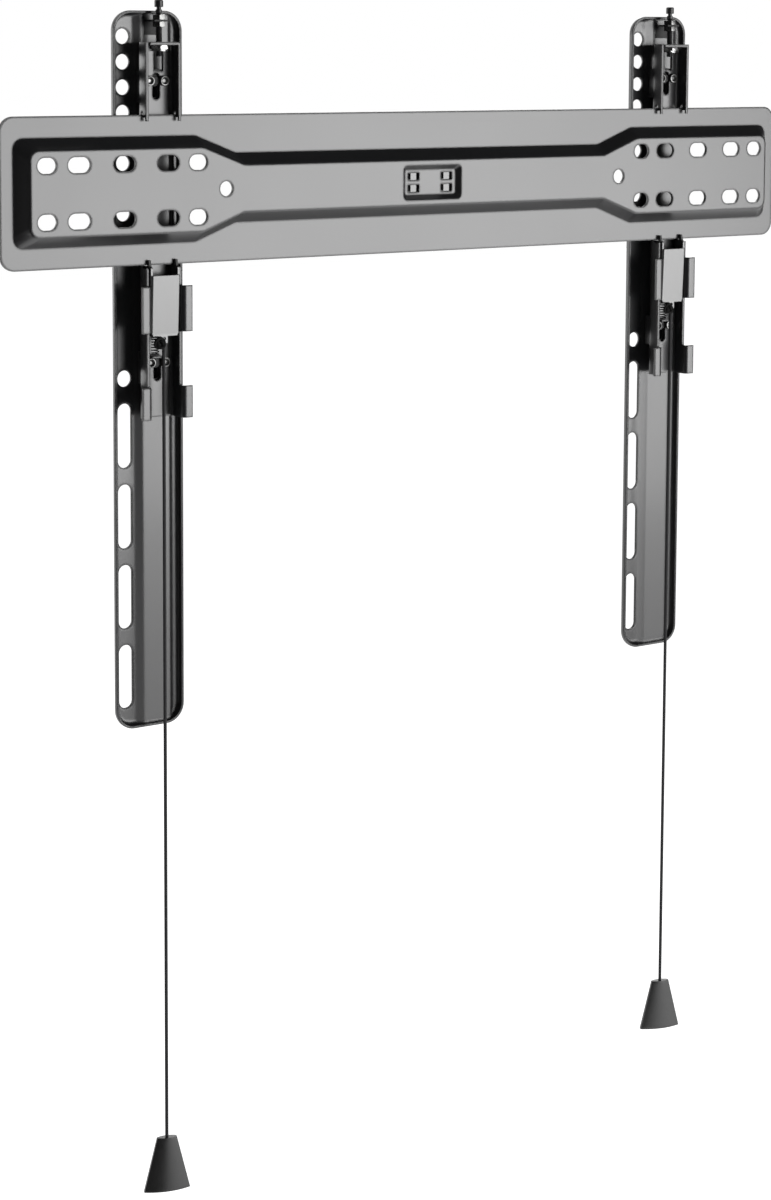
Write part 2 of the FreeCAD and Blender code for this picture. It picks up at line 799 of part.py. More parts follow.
def wing(side, name, face, sign, front, z):
    """A tab that turns outwards from a side wall, bent where it leaves the wall."""
    thickness = size("carriage_sheet")
    reach = size("wing_reach")
    inner = size("wing_bend")
    root = face - sign * thickness
    tip = face + sign * reach
    low, high = (tip, root) if sign.value < 0 else (root, tip)
    tab = block(side.label("wing_tab_" + name), (low, high), (front, wall_front + 1.2), z)
    corner = upright_at(root.value, front.value)
    outer_radius = inner.value + thickness.value
    tab = round_edges(side.label("wing_outer_" + name), tab,
                      lambda edge: outer_radius if corner(edge) else None)
    open_low, open_high = (tip - 1.0, face) if sign.value < 0 else (face, tip + 1.0)
    gap = block(side.label("wing_gap_" + name), (open_low, open_high),
                (front + thickness, wall_front + 3.0), (z[0] - 1.0, z[1] + 1.0))
    hollow = upright_at(face.value, (front + thickness).value)
    gap = round_edges(side.label("wing_inner_" + name), gap,
                      lambda edge: inner.value if hollow(edge) else None)
    return cut(side.label("wing_" + name), tab, [gap])


# Glide shoes between carriage and arm, their screws, and the studs that slide in them
def make_guides(side):
    clearance = size("shoe_gap")
    shoe_back = strip_front - clearance
    spare = size("lift_spare")
    screws = []
    for label, z in guide_heights():
        head = size("stud_head_radius")
        pocket_top = z + size("lift_up") + head + spare
        pocket_bottom = z - size("lift_down") - head - spare
        margin = size("shoe_margin")
        half = size("shoe_width") / 2
        body = block(side.label("shoe_body_" + label), (side.middle - half, side.middle + half),
                     (web_back, shoe_back), (pocket_bottom - margin, pocket_top + margin))
        ledge = web_back + size("stud_head_height") + 0.15
        hollow = new_sketch(side.label("shoe_pocket_outline_" + label), FACING_WALL)
        limits = ((side.middle - head - 0.1, side.middle + head + 0.1), (pocket_bottom, pocket_top))
        rounded(hollow, rectangle_centres(limits[0], limits[1], head * 0.8), head * 0.8)
        hollow = wall_prism(side.label("shoe_pocket_" + label), hollow, (web_back - 1.0, ledge))
        neck = size("stud_radius") + 0.3
        channel = new_sketch(side.label("shoe_channel_outline_" + label), FACING_WALL)
        rounded(channel, ((side.middle, z + size("lift_up")), (side.middle, z - size("lift_down"))), neck)
        channel = wall_prism(side.label("shoe_channel_" + label), channel,
                             (web_back, shoe_back + 1.0))
        tools = [hollow, channel]
        for end, x in screw_places(side):
            tools.append(rod(side.label("shoe_bore_%s_%s" % (label, end)), size("shoe_screw_radius"),
                             shoe_back - web_back + 2.0, x, shoe_back + 1.0, z, FACING_WALL))
        finish(side.label("glide_shoe_" + label), cut(side.label("shoe_" + label), body, tools))

        tip = rod(side.label("stud_tip_" + label), size("stud_tip_radius"),
                  web_back - web_front, side.middle, web_back, z, FACING_WALL)
        stud_head = rod(side.label("stud_head_" + label), head, size("stud_head_height"),
                        side.middle, web_back + 0.1 + size("stud_head_height"), z, FACING_WALL)
        stem = rod(side.label("stud_stem_" + label), size("stud_radius"), strip_back - web_back,
                   side.middle, strip_back, z, FACING_WALL)
        rivet = rod(side.label("stud_rivet_" + label), size("stud_rivet_radius"),
                    size("stud_rivet_height"), side.middle,
                    strip_back + size("stud_rivet_height"), z, FACING_WALL)
        join = rod(side.label("stud_join_" + label), size("stud_radius"), size("stud_head_height"),
                   side.middle, web_back + size("stud_head_height"), z, FACING_WALL)
        finish(side.label("guide_stud_" + label),
               fuse(side.label("stud_" + label), [tip, stud_head, stem, join, rivet]))
        for end, x in screw_places(side):
            screws.append(pan_screw(side, "%s_%s" % (label, end), x, z, shoe_back))
    group = doc.addObject("Part::Compound", side.label("shoe_screw_group"))
    group.Links = screws
    finish(side.label("shoe_screws"), group)


def pan_screw(side, name, x, z, end):
    """A small screw with a flat round head."""
    crown = rod(side.label("crown_" + name), size("shoe_screw_head"), size("shoe_screw_height"),
                x, web_front, z, FACING_WALL)
    shank = rod(side.label("shank_" + name), size("shoe_screw_radius"), end - web_front,
                x, end, z, FACING_WALL)
    return fuse(side.label("pan_screw_" + name), [crown, shank])


# Latch: a folded strip with two toothed legs
def latch_bottom():
    return -size("latch_top") - size("latch_length")


def latch_lip_bottom():
    return latch_bottom() - size("latch_lip")


def make_latch(side):
    half = size("latch_width") / 2
    thickness = size("latch_sheet")
    top = -size("latch_top")
    bottom = latch_bottom()
    ear = size("latch_ear_front")
    back = web_front - size("latch_back_gap")
    tooth_back = flange_front - size("tooth_gap")
    tooth_top = -plate_top + size("latch_tooth")
    shoulder = -plate_top - size("latch_edge_gap")
    front_top = size("latch_front_top")
    front_bottom = size("latch_front_bottom")
    leg = (
        (front_bottom, bottom),
        (back, bottom),
        (back, shoulder),
        (tooth_back, shoulder),
        (tooth_back, tooth_top),
        (tooth_back - size("latch_tooth_width"), tooth_top),
        (ear + size("latch_tooth_width"), shoulder),
        (ear, top + size("latch_ear_rise")),
        (ear, top),
        (front_top, top),
    )
    solid = side_prism(side.label("latch_block"), leg, (side.middle - half, side.middle + half))
    face_left = side.middle - half
    face_right = side.middle + half

    def fold(edge):
        points = [vertex.Point for vertex in edge.Vertexes]
        if len(points) != 2 or abs(points[0].z - points[1].z) < 20.0:
            return None
        on_side = min(abs(points[0].x - face_left.value), abs(points[0].x - face_right.value)) < 0.01
        on_face = max(points[0].y, points[1].y) < front_bottom.value + 0.01
        return size("latch_round").value if on_side and on_face else None
    solid = round_edges(side.label("latch_folds"), solid, fold)

    hollow = (
        (front_bottom + thickness, bottom - 1.0),
        (back + 1.0, bottom - 1.0),
        (back + 1.0, tooth_top + 1.0),
        (ZERO, tooth_top + 1.0),
        (ZERO, top),
        (front_top + thickness, top),
    )
    inside = side_prism(side.label("latch_hollow"), hollow,
                        (face_left + thickness, face_right - thickness))
    lip_limits = (face_left + thickness, face_right - thickness)
    lip = block(side.label("latch_lip"), lip_limits, (front_bottom, back),
                (latch_lip_bottom(), bottom + 0.2))
    cord_x = side.middle + size("cord_offset")
    tongue_half = size("tongue_width") / 2
    tongue = block(side.label("latch_tongue"), (cord_x - tongue_half, cord_x + tongue_half),
                   (front_bottom, front_bottom + thickness),
                   (bottom - size("tongue_length"), bottom + 0.2))
    folded = fuse(side.label("latch_folded"), [cut(side.label("latch_shell"), solid, [inside]), lip, tongue])

    pin = size("pin_radius") + size("pin_gap")
    slot = new_sketch(side.label("latch_slot_outline"), FACING_SIDE)
    rounded(slot, ((size("pin_place"), -size("pin_drop") + size("latch_travel") + 0.2),
                   (size("pin_place"), -size("pin_drop") - 0.2)), pin)
    place(slot, face_left - 1.0, ZERO, ZERO)
    slot = extrude(side.label("latch_slots"), slot, size("latch_width") + 2.0)
    eye = rod(side.label("tongue_eye"), size("tongue_hole"), thickness + 2.0, cord_x,
              front_bottom + thickness + 1.0, bottom - size("tongue_length") / 2, FACING_WALL)
    finish(side.label("latch"), cut(side.label("latch_drilled"), folded, [slot, eye]))

    along = FreeCAD.Rotation(V(0, 1, 0), 90)
    reach = size("carriage_width") / 2
    pin_z = -size("pin_drop")
    finish(side.label("latch_pin"), rod(side.label("pin"), size("pin_radius"), reach * 2,
                                        side.middle - reach, size("pin_place"), pin_z, along))


# Spring that lifts the latch, as the sleeve that its turns fill
def make_spring(side):
    wire = size("spring_wire")
    play = size("spring_play")
    x = side.middle + size("spring_offset")
    y = size("spring_place")
    bottom = latch_lip_bottom() - size("spring_length") + play
    height = size("spring_length") - play * 2
    outside = rod(side.label("spring_outside"), size("spring_radius") + wire, height, x, y, bottom)
    inside = rod(side.label("spring_inside"), size("spring_radius") - wire, height, x, y, bottom)
    finish(side.label("latch_spring"), cut(side.label("spring_sleeve"), outside, [inside]))


# Height screw with its nuts, bracket and retaining ring
def make_lift_screw(side):
    x = screw_x(side)
    y = size("lift_screw_place")
    radius = size("lift_screw_radius")
    tip = size("lift_screw_tip")
    shoulder = size("lift_screw_shoulder")
    neck = size("lift_screw_neck")
    head = size("lift_screw_head")
    shaft = rod(side.label("screw_shaft"), radius, shoulder - tip, x, y, tip)
    throat = rod(side.label("screw_throat"), size("lift_screw_neck_radius"), neck, x, y, shoulder)
    crown = rod(side.label("screw_crown"), size("lift_screw_head_radius"), head, x, y, shoulder + neck)
    drive = rod(side.label("screw_drive"), size("lift_screw_head_radius") * 0.5, head / 2, x, y,
                shoulder + neck + head / 2)
    screw = fuse(side.label("screw_turned"), [shaft, throat, crown])
    finish(side.label("height_screw"), cut(side.label("screw_driven"), screw, [drive]))

    # The carriage's flange carries a nut that the screw turns in
    thread = radius + size("lift_screw_gap")
    flange = size("carriage_rise") - size("carriage_sheet")
    body = rod(side.label("press_nut_outside"), size("press_nut_radius"), size("press_nut_height"),
               x, y, flange - size("press_nut_height"))
    bore = rod(side.label("press_nut_bore"), thread, size("press_nut_height") + 2.0, x, y,
               flange - size("press_nut_height") - 1.0)
    finish(side.label("press_nut"), cut(side.label("threaded_ring"), body, [bore]))

    # Nuts locked on the screw above and below the bracket leg
    leg_top = size("bracket_height")
    leg_bottom = leg_top - size("bracket_sheet")
    corner = size("nut_flats") / math.sqrt(3.0)
    nuts = []
    play = size("nut_play")
    for label, z in (("upper", leg_top + play), ("lower", leg_bottom - play - size("nut_height"))):
        prism = doc.addObject("Part::Prism", side.label("nut_prism_" + label))
        prism.Polygon = 6
        bind(prism, "Circumradius", corner)
        bind(prism, "Height", size("nut_height"))
        place(prism, x, y, z)
        hole = rod(side.label("nut_thread_" + label), radius, size("nut_height") + 2.0, x, y, z - 1.0)
        nuts.append(cut(side.label("nut_" + label), prism, [hole]))
    group = doc.addObject("Part::Compound", side.label("nut_group"))
    group.Links = nuts
    finish(side.label("bracket_nuts"), group)

    half = size("bracket_width") / 2
    front = y - size("nut_flats") / 2 - 0.5
    leg = block(side.label("bracket_leg"), (x - half, x + half), (front, strip_front),
                (leg_bottom, leg_top))
    foot = block(side.label("bracket_foot"), (x - half, x + half),
                 (strip_front - size("bracket_sheet") * 0.4, strip_front),
                 (leg_top - size("bracket_foot"), leg_top))
    hole = rod(side.label("bracket_hole"), thread, size("bracket_sheet") + 2.0, x, y, leg_bottom - 1.0)
    angle = fuse(side.label("bracket_angle"), [leg, foot])
    finish(side.label("screw_bracket"), cut(side.label("bracket_drilled"), angle, [hole]))


# Release cord and its pull
def make_cord(side):
    x = side.middle + size("cord_offset")
    y = size("latch_front_bottom") + size("latch_sheet") / 2
    top = latch_bottom() - size("tongue_length")
    end = top - side.cord_length
    line = rod(side.label("cord_line"), size("cord_radius"), side.cord_length, x, y, end)
    finish(side.label("cord"), line)

    sections = []
    height = size("pull_height")
    for label, z, width, depth, bulge in (
            ("top", end, "pull_top_width", "pull_top_depth", "pull_top_bulge"),
            ("base", end - height, "pull_base_width", "pull_base_depth", "pull_base_bulge")):
        drawing = new_sketch(side.label("pull_" + label), FACING_UP)
        polygon(drawing, bowed_corners(size(width) / 2, size(depth) / 2, size(bulge)))
        bind(drawing, "Placement.Rotation.Angle", side.turn)
        place(drawing, x, y, z)
        sections.append(drawing)
    finish(side.label("cord_pull"), loft(side.label("pull_body"), sections))


def bowed_corners(half, depth, bulge):
    """A section with blunt ends and two bowed faces made of flats."""
    steps = ((1.0, 0.0), (0.62, 0.62), (0.22, 0.95), (-0.22, 0.95), (-0.62, 0.62), (-1.0, 0.0))
    front = [(half * along, depth + bulge * rise) for along, rise in steps]
    back = [(half * -along, -depth - bulge * rise) for along, rise in steps]
    return front + back


make_wall_plate()
make_level()
sides = (
    Side("left", -1.0, "left_cord_length", "left_pull_turn"),
    Side("right", 1.0, "right_cord_length", "right_pull_turn"),
)
for side in sides:
    make_arm(side)
    make_carriage(side)
    make_guides(side)
    make_latch(side)
    make_spring(side)
    make_lift_screw(side)
    make_cord(side)
doc.recompute()

# Nothing is written unless every object and every sub-part is sound
for item in doc.Objects:
    if "Invalid" in item.State or "Error" in item.State:
        raise RuntimeError("%s (%s) failed" % (item.Name, item.Label))
for name, item in nodes.items():
    if item.Shape.isNull() or not item.Shape.isValid() or not item.Shape.Solids:
        raise RuntimeError("%s has no sound shape" % name)

os.makedirs("parts", exist_ok=True)
for name, item in nodes.items():
    item.Shape.exportStep("parts/%s.step" % name)
    box = item.Shape.BoundBox
    print("%-24s %d solids %10.1f mm3  x %.2f..%.2f  y %.2f..%.2f  z %.2f..%.2f" % (
        name, len(item.Shape.Solids), item.Shape.Volume,
        box.XMin, box.XMax, box.YMin, box.YMax, box.ZMin, box.ZMax))
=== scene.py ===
# %% [markdown]
# A slim wall bracket for a flat screen, seen from the side that goes against the wall.
# The solids come from the CAD frame. This lesson gives them their finishes, adds the small
# pieces that a solid model leaves plain (threads, sockets, a coil, knots, cords), and lights
# and frames the picture. Every length is in metres.

import math

import bmesh
import bpy
from mathutils import Matrix, Vector


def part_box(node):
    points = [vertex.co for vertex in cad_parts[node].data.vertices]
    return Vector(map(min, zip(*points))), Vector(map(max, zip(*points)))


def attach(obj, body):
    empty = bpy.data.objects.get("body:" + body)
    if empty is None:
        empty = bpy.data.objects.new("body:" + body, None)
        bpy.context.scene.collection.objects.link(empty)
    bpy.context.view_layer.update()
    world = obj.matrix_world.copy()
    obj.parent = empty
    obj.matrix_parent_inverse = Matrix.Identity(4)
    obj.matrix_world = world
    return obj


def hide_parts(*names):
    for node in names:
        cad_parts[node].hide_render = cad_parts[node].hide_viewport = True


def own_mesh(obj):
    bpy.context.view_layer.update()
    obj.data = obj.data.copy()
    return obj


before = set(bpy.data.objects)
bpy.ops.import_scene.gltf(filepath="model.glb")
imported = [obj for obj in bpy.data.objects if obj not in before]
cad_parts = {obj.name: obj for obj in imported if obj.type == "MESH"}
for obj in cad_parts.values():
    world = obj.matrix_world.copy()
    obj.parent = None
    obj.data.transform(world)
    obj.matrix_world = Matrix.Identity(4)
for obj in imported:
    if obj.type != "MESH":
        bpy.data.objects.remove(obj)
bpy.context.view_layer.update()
SIDES = ("left", "right")

# %% [markdown]
# The picture was taken with a level camera whose frame reaches far below its axis, so that
# upright edges stay upright. A lens shift does that. The whole shift would push the object
# out of the frame in other views, so about half of it is given to a downward tilt, and
# upright edges lean together a little. The camera's axes are written out as a matrix, because
# its turn, tilt and roll were solved together from the holes and ends of the object.

# %% Camera
TURN, TILT, ROLL = math.radians(34.438), math.radians(5.973), math.radians(0.276)
CAMERA_PLACE = Vector((-0.9744, -1.3682, 0.0883))
LENS_PIXELS = 2627.8
FRAME_PIXELS = 1200
SENSOR = 36.0
LENS_SHIFT = -0.235

aim = Vector((math.sin(TURN) * math.cos(TILT), math.cos(TURN) * math.cos(TILT), -math.sin(TILT)))
level_right = Vector((math.cos(TURN), -math.sin(TURN), 0.0))
level_up = level_right.cross(aim)
right = level_right * math.cos(ROLL) + level_up * math.sin(ROLL)
up = -level_right * math.sin(ROLL) + level_up * math.cos(ROLL)

camera_data = bpy.data.cameras.new("camera")
camera = bpy.data.objects.new("camera", camera_data)
bpy.context.scene.collection.objects.link(camera)
turned = Matrix((right, up, -aim)).transposed().to_4x4()
camera.matrix_world = Matrix.Translation(CAMERA_PLACE) @ turned
camera_data.lens = SENSOR * LENS_PIXELS / FRAME_PIXELS
camera_data.shift_y = LENS_SHIFT
camera_data.clip_end = 50.0
bpy.context.scene.camera = camera
print("lens", round(camera_data.lens, 2), "mm")

# %% [markdown]
# Dark gloss paint shows little of its own colour. Its tone is what it mirrors. The camera
# stands to the left, so every flat face of the plate mirrors the same part of the room, to
# the right, and one broad card stands just there. That is why all flats have nearly the same
# grey, and each slope that leans away from the card is dark. A second card behind on the left
# lights the faces that look that way, and a third is for whoever walks round to the screen
# side.

# %% Lamps
def soft_card(name, place, target, width, height, radiance):
    """A rectangular lamp whose surface has the given brightness."""
    data = bpy.data.lights.new(name, "AREA")
    data.shape = "RECTANGLE"
    data.size = width
    data.size_y = height
    data.energy = radiance * math.pi * width * height
    lamp = bpy.data.objects.new(name, data)
    lamp.location = place
    lamp.rotation_euler = (Vector(target) - Vector(place)).to_track_quat("-Z", "Y").to_euler()
    bpy.context.scene.collection.objects.link(lamp)
    print(name, round(data.energy, 1), "W")


soft_card("front_card", (1.09, -1.92, -0.12), (0, 0, -0.02), 1.74, 0.98, 7.3)
soft_card("left_back_card", (-1.25, 1.80, 0.02), (-0.2, 0, -0.1), 0.60, 0.80, 3.2)
soft_card("right_back_card", (1.5, 2.0, 0.9), (0, 0, -0.1), 1.0, 1.0, 3.5)

# %% [markdown]
# The room round the object is white where it is seen, directly, in a mirror or through
# glass, and much weaker where it only lights. So the paper stays white and the cards still
# model the shapes. The Light Path node tells the two apart.

# %% World
WORLD_LIGHT, WORLD_SEEN = 0.35, 1.0

world = bpy.data.worlds.new("studio")
bpy.context.scene.world = world
world.use_nodes = True
tree = world.node_tree
background = tree.nodes["Background"]
background.inputs["Color"].default_value = (1.0, 1.0, 1.0, 1.0)


def seen_directly(tree):
    """A value of 1 for camera, mirror and glass rays, and 0 for the rest."""
    path = tree.nodes.new("ShaderNodeLightPath")
    first = tree.nodes.new("ShaderNodeMath")
    first.operation = "MAXIMUM"
    second = tree.nodes.new("ShaderNodeMath")
    second.operation = "MAXIMUM"
    tree.links.new(path.outputs["Is Camera Ray"], first.inputs[0])
    tree.links.new(path.outputs["Is Glossy Ray"], first.inputs[1])
    tree.links.new(first.outputs[0], second.inputs[0])
    tree.links.new(path.outputs["Is Transmission Ray"], second.inputs[1])
    return second.outputs[0]


def strength_between(tree, low, high):
    """A strength that is high where the background is seen, and low where it only lights."""
    span = tree.nodes.new("ShaderNodeMapRange")
    span.inputs["To Min"].default_value = low
    span.inputs["To Max"].default_value = high
    tree.links.new(seen_directly(tree), span.inputs["Value"])
    return span.outputs["Result"]


tree.links.new(strength_between(tree, WORLD_LIGHT, WORLD_SEEN), background.inputs["Strength"])
bpy.context.scene.view_settings.view_transform = "Standard"
print("world", WORLD_LIGHT, "as a light and", WORLD_SEEN, "where it is seen")

# %% [markdown]
# The bracket hangs in the picture with nothing round it. A pale floor lies well below, where
# it catches the soft shadow, and takes the same white as the world behind it.

# %% Floor
FLOOR_HEIGHT = -0.95
FLOOR_HALF = 9.0
FLOOR_GLOW = 0.80

sheet = bmesh.new()
bmesh.ops.create_grid(sheet, x_segments=1, y_segments=1, size=FLOOR_HALF)
floor_mesh = bpy.data.meshes.new("floor")
sheet.to_mesh(floor_mesh)
sheet.free()
floor_mesh.transform(Matrix.Translation((0, 0, FLOOR_HEIGHT)))
floor = bpy.data.objects.new("floor", floor_mesh)
bpy.context.scene.collection.objects.link(floor)
pale = bpy.data.materials.new("pale_floor")
pale.use_nodes = True
shader = pale.node_tree.nodes["Principled BSDF"]
shader.inputs["Base Color"].default_value = (0.86, 0.86, 0.86, 1)
shader.inputs["Roughness"].default_value = 0.9
shader.inputs["Specular IOR Level"].default_value = 0.0
shader.inputs["Emission Color"].default_value = (1, 1, 1, 1)
glow = strength_between(pale.node_tree, 0.0, FLOOR_GLOW)
pale.node_tree.links.new(glow, shader.inputs["Emission Strength"])
floor_mesh.materials.append(pale)
print("floor at", FLOOR_HEIGHT)

# %% [markdown]
# A white room would lighten every slope. As in a real studio, dark cloth hangs round the
# front half of the bracket, and only mirror rays meet it. It is open towards the back and
# the floor, and the cards hang inside it. A strip of the same cloth lies on the left part of
# the floor, which the left halves of the cord pulls mirror.

# %% Dark cloths
CLOTH_RADIUS = 3.2
CLOTH_BACK = 1.0
CLOTH_FOOT = -0.9
STRIP_HALF = 1.5
STRIP_MIDDLE = (-1.76, -1.75, -0.94)

cloth = bmesh.new()
bmesh.ops.create_uvsphere(cloth, u_segments=48, v_segments=24, radius=CLOTH_RADIUS)
open_part = []
for face in cloth.faces:
    middle = face.calc_center_median()
    if middle.y > CLOTH_BACK or middle.z < CLOTH_FOOT:
        open_part.append(face)
bmesh.ops.delete(cloth, geom=open_part, context="FACES")
bmesh.ops.create_grid(cloth, x_segments=1, y_segments=1, size=STRIP_HALF,
                      matrix=Matrix.Translation(STRIP_MIDDLE))
cloth_mesh = bpy.data.meshes.new("dark_cloth")
cloth.to_mesh(cloth_mesh)
cloth.free()
dark_cloth = bpy.data.objects.new("dark_cloth", cloth_mesh)
bpy.context.scene.collection.objects.link(dark_cloth)
dark_cloth.visible_camera = False
dark_cloth.visible_diffuse = False
dark_cloth.visible_transmission = False
dark_cloth.visible_shadow = False
black = bpy.data.materials.new("dark_cloth")
black.use_nodes = True
shader = black.node_tree.nodes["Principled BSDF"]
shader.inputs["Base Color"].default_value = (0.02, 0.02, 0.02, 1)
shader.inputs["Specular IOR Level"].default_value = 0.0
cloth_mesh.materials.append(black)
print("cloth faces", len(cloth_mesh.polygons))

# %% [markdown]
# Three finishes need a fine uneven surface: the baked coat has a faint orange-peel, moulded
# plastic a fine spark texture, and plated parts tiny mottling. One node group makes all three
# from two noises, and each material gives it its own scale.

# %% Shared grain group
def new_group(name, numbers, results):
    """A shader node group with named number inputs and named outputs."""
    group = bpy.data.node_groups.new(name, "ShaderNodeTree")
    for label, value in numbers:
        socket = group.interface.new_socket(label, in_out="INPUT", socket_type="NodeSocketFloat")
        socket.default_value = value
    for label in results:
        group.interface.new_socket(label, in_out="OUTPUT", socket_type="NodeSocketFloat")
    return group, group.nodes.new("NodeGroupInput"), group.nodes.new("NodeGroupOutput")


def grain_group():
    group, given, result = new_group(
        "grain", (("Fine Scale", 900.0), ("Broad Scale", 18.0)), ("Fine", "Broad"))
    place = group.nodes.new("ShaderNodeTexCoord")
    for source, output, detail in (("Fine Scale", "Fine", 2.0), ("Broad Scale", "Broad", 4.0)):
        noise = group.nodes.new("ShaderNodeTexNoise")
        noise.inputs["Detail"].default_value = detail
        group.links.new(place.outputs["Object"], noise.inputs["Vector"])
        group.links.new(given.outputs[source], noise.inputs["Scale"])
        group.links.new(noise.outputs["Fac"], result.inputs[output])
    return group


GRAIN = grain_group()
print("grain sockets", [item.name for item in GRAIN.interface.items_tree])

# %% [markdown]
# A finish is a Principled shader whose colour and roughness each run between two values on
# the broad noise, with a bump from the fine one. Building it in one function keeps the
# materials comparable, and each call below reads like a recipe card. The edge value is the
# radius of a Bevel node, which rounds folded and pressed edges in the shading alone: the
# solid's mesh stays as it is, and its edges still catch the light as bent sheet does.

# %% Finish recipe
GRAIN_HEIGHT = 0.0002


def finish(name, dark, light, rough, fine, broad, bump, metallic=0.0, specular=0.5,
           edge=0.0):
    """A material between two colours and two roughnesses, with fine relief."""
    material = bpy.data.materials.new(name)
    material.use_nodes = True
    nodes, links = material.node_tree.nodes, material.node_tree.links
    shader = nodes["Principled BSDF"]
    shader.inputs["Metallic"].default_value = metallic
    shader.inputs["Specular IOR Level"].default_value = specular
    grain = nodes.new("ShaderNodeGroup")
    grain.node_tree = GRAIN
    grain.inputs["Fine Scale"].default_value = fine
    grain.inputs["Broad Scale"].default_value = broad
    if dark == light:
        shader.inputs["Base Color"].default_value = (*dark, 1)
    else:
        colours = nodes.new("ShaderNodeMix")
        colours.data_type = "RGBA"
        colours.inputs["A"].default_value = (*dark, 1)
        colours.inputs["B"].default_value = (*light, 1)
        links.new(grain.outputs["Broad"], colours.inputs["Factor"])
        links.new(colours.outputs["Result"], shader.inputs["Base Color"])
    gloss = nodes.new("ShaderNodeMapRange")
    gloss.inputs["To Min"].default_value = rough[0]
    gloss.inputs["To Max"].default_value = rough[1]
    links.new(grain.outputs["Broad"], gloss.inputs["Value"])
    links.new(gloss.outputs["Result"], shader.inputs["Roughness"])
    relief = nodes.new("ShaderNodeBump")
    relief.inputs["Strength"].default_value = bump
    relief.inputs["Distance"].default_value = GRAIN_HEIGHT
    links.new(grain.outputs["Fine"], relief.inputs["Height"])
    links.new(relief.outputs["Normal"], shader.inputs["Normal"])
    if edge:
        rounded = nodes.new("ShaderNodeBevel")
        rounded.samples = 6
        rounded.inputs["Radius"].default_value = edge
        links.new(rounded.outputs["Normal"], relief.inputs["Normal"])
    print("finish", name)
    return material


# %% [markdown]
# All sheets have the same black baked coat, of middling gloss under a thin clear film. They
# differ in their edges: the plate and the arms are drawn in a press and have wide bends, the
# carriages are folded, and the small latches are sharper. The latches' coat is glossier, and
# its colour is painted a little paler, as a painted highlight on their bright faces.

# %% Coats of the sheets
COAT = finish("black_baked_coat", (0.010, 0.010, 0.011), (0.016, 0.016, 0.017),
              (0.29, 0.33), 1400.0, 14.0, 0.03, specular=0.8, edge=0.0019)
FOLDED_COAT = finish("folded_baked_coat", (0.010, 0.010, 0.011), (0.016, 0.016, 0.017),
                     (0.29, 0.33), 1400.0, 14.0, 0.03, specular=0.8, edge=0.0016)
DRAWN_COAT = finish("drawn_baked_coat", (0.010, 0.010, 0.011), (0.016, 0.016, 0.017),
                    (0.29, 0.33), 1400.0, 14.0, 0.03, specular=0.8, edge=0.0024)
# The latches' coat is the same black coat with its colour painted paler: a painted highlight.
LATCH_COAT_PAINTED_PALER = finish("black_coat_painted_paler", (0.016, 0.016, 0.016), (0.022, 0.022, 0.022),
                    (0.28, 0.32), 1400.0, 14.0, 0.03, specular=1.0, edge=0.0006)
for coat, weight, roughness in ((COAT, 0.15, 0.12), (FOLDED_COAT, 0.15, 0.12),
                                (DRAWN_COAT, 0.15, 0.12), (LATCH_COAT_PAINTED_PALER, 0.4, 0.28)):
    shader = coat.node_tree.nodes["Principled BSDF"]
    shader.inputs["Coat Weight"].default_value = weight
    shader.inputs["Coat Roughness"].default_value = roughness

# %% [markdown]
# The height screws are blackened, nuts and shoe screws are zinc plated, and studs and springs
# have a dull phosphate skin. The cord is braided. Its knot has a darker copy of the cord's
# colour, painted shade for its many folds. The pulls are satin and the level's housing is
# glossy.

# %% Steel, cord and plastic
BLACKENED = finish("blackened_steel", (0.008, 0.008, 0.009), (0.016, 0.016, 0.017),
                   (0.26, 0.40), 2500.0, 160.0, 0.08, specular=0.5)
ZINC = finish("bright_zinc", (0.50, 0.50, 0.50), (0.66, 0.66, 0.65),
              (0.22, 0.38), 2500.0, 160.0, 0.10, metallic=1.0)
DARK_ZINC = finish("dark_zinc", (0.16, 0.16, 0.16), (0.24, 0.24, 0.235),
                   (0.28, 0.42), 2500.0, 160.0, 0.10, metallic=1.0)
PHOSPHATED = finish("phosphated_steel", (0.010, 0.010, 0.010), (0.018, 0.018, 0.018),
                    (0.42, 0.52), 2500.0, 160.0, 0.08, specular=0.25)
# The knot's colour is the cord's made darker: painted shade for its folds.
KNOT = finish("knot_cord_painted_darker", (0.004, 0.004, 0.004), (0.010, 0.010, 0.010),
              (0.70, 0.85), 2400.0, 400.0, 0.3, specular=0.15)
CORD = finish("braided_cord", (0.012, 0.012, 0.013), (0.03, 0.03, 0.032),
              (0.65, 0.8), 2400.0, 400.0, 0.3, specular=0.3)
GLOSS_PLASTIC = finish("gloss_plastic", (0.016, 0.016, 0.017), (0.026, 0.026, 0.027),
                       (0.24, 0.30), 3000.0, 60.0, 0.05, specular=1.0)
PLASTIC = finish("moulded_plastic", (0.016, 0.016, 0.017), (0.026, 0.026, 0.027),
                 (0.42, 0.52), 3000.0, 60.0, 0.22)
PULL_PLASTIC = finish("satin_pull_plastic", (0.009, 0.009, 0.009), (0.013, 0.013, 0.013),
                      (0.34, 0.40), 3000.0, 60.0, 0.10, specular=0.7)

# %% [markdown]
# The spirit level is clear acrylic with a yellow-green liquid. Its colour, its clearness and
# its index of refraction are plain values on the shader, because thin clear walls look the
# same all over. Only the fine unevenness comes from the grain.

# %% Level finishes
def clear_finish(name, colour, roughness, transmission, ior):
    material = finish(name, colour, colour, (roughness, roughness + 0.03), 2000.0, 50.0, 0.02)
    shader = material.node_tree.nodes["Principled BSDF"]
    shader.inputs["Transmission Weight"].default_value = transmission
    shader.inputs["IOR"].default_value = ior
    return material


VIAL = clear_finish("clear_acrylic", (0.95, 0.97, 0.95), 0.03, 1.0, 1.49)
LIQUID = clear_finish("green_liquid", (0.62, 0.85, 0.12), 0.05, 0.75, 1.33)

# %% [markdown]
# Each CAD node takes one of these finishes. The solid's mesh stays as it is. Only the
# material in its slots changes, and faces keep the soft shading that the frame gave them.

# %% Dress the CAD nodes
def dress(node, material):
    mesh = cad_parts[node].data
    mesh.materials.clear()
    mesh.materials.append(material)
    for face in mesh.polygons:
        face.material_index = 0


